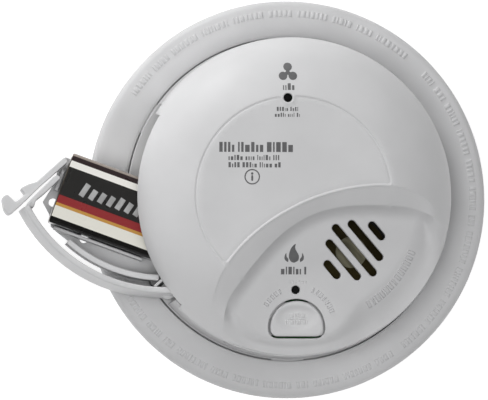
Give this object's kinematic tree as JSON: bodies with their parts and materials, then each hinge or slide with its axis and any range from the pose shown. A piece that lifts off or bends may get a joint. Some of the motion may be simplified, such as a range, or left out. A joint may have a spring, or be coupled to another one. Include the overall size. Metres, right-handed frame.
{
  "type": "combined smoke and carbon monoxide alarm",
  "caption": "Round mains smoke and carbon monoxide alarm on a twist-lock ring bracket, battery drawer swung open, with test button, sounder slots and indicator lights.",
  "frame": {"origin": "centre of the mounting bracket on the wall or ceiling plane, on the twist-lock axis", "axes": "+Z out of the wall into the room, +Y up on the face, +X right; the open drawer points towards -X"},
  "size_m": [0.1782, 0.146, 0.0495],
  "materials": {
    "white_plastic": "fine moulded satin",
    "grey_plastic": "satin",
    "black_plastic": "satin",
    "clear_plastic": "polished",
    "circuit_board": "solder mask",
    "film_yellow": "dipped",
    "steel": "plated",
    "brass": "rolled",
    "ceramic": "silvered ceramic",
    "battery_label": "printed film over a steel sleeve",
    "paper_label": "label film"
  },
  "bodies": {
    "bracket": {"mounting_bracket": "white_plastic"},
    "alarm": {"board_screw_1": "steel", "board_screw_2": "steel", "board_screw_3": "steel", "button_spring": "steel", "circuit_board": "circuit_board", "co_cell": "steel", "co_cell_filter_cap": "white_plastic", "co_light": "clear_plastic", "co_light_pipe": "clear_plastic", "collector_plate": "steel", "collector_post": "steel", "contact_block": "black_plastic", "controller_chip": "black_plastic", "drawer_pin": "steel", "electrolytic_capacitor_1": "black_plastic", "electrolytic_capacitor_2": "black_plastic", "film_capacitor": "film_yellow", "front_cover": "white_plastic", "horn_ceramic": "ceramic", "horn_contact_leaf": "steel", "horn_cup": "black_plastic", "horn_disc": "brass", "interconnect_pin": "brass", "interconnect_relay": "black_plastic", "line_pin": "brass", "mains_socket": "black_plastic", "negative_contact": "steel", "neutral_pin": "brass", "positive_contact": "steel", "power_light": "clear_plastic", "power_light_pipe": "clear_plastic", "rear_housing": "grey_plastic", "rear_label": "paper_label", "sensor_chip": "black_plastic", "smoke_chamber_base": "black_plastic", "smoke_chamber_cap": "black_plastic", "source_holder": "steel", "surge_absorber": "film_yellow", "switch_body": "black_plastic", "switch_plunger": "grey_plastic"},
    "drawer": {"battery_drawer": "white_plastic", "battery_sleeve": "battery_label", "battery_base_cap": "steel", "battery_terminal_plate": "black_plastic", "battery_positive_snap": "steel", "battery_negative_snap": "steel"},
    "latch": {"drawer_latch_arm": "white_plastic"},
    "button": {"test_button": "white_plastic"}
  },
  "joints": [
    {"name": "twist_lock", "type": "hinge", "parent": "bracket", "child": "alarm", "pos_m": [0, 0, 0], "axis": [0, 0, 1], "range_deg": [0, 15]},
    {"name": "drawer_swing", "type": "hinge", "parent": "alarm", "child": "drawer", "pos_m": [-0.0445, -0.0339, 0.0175], "axis": [0, 0, 1], "range_deg": [-55, 0]},
    {"name": "latch_flex", "type": "hinge", "parent": "drawer", "child": "latch", "pos_m": [-0.0814, 0.0133, 0.0175], "axis": [0, 0, 1], "range_deg": [-3, 1.2], "stiffness_Nm_per_rad": 0.05},
    {"name": "button_press", "type": "slide", "parent": "alarm", "child": "button", "axis": [0, 0, -1], "range_m": [0, 0.0012], "stiffness_N_per_m": 400, "springref_m": -0.001, "deforming": ["button_spring"]}
  ]
}
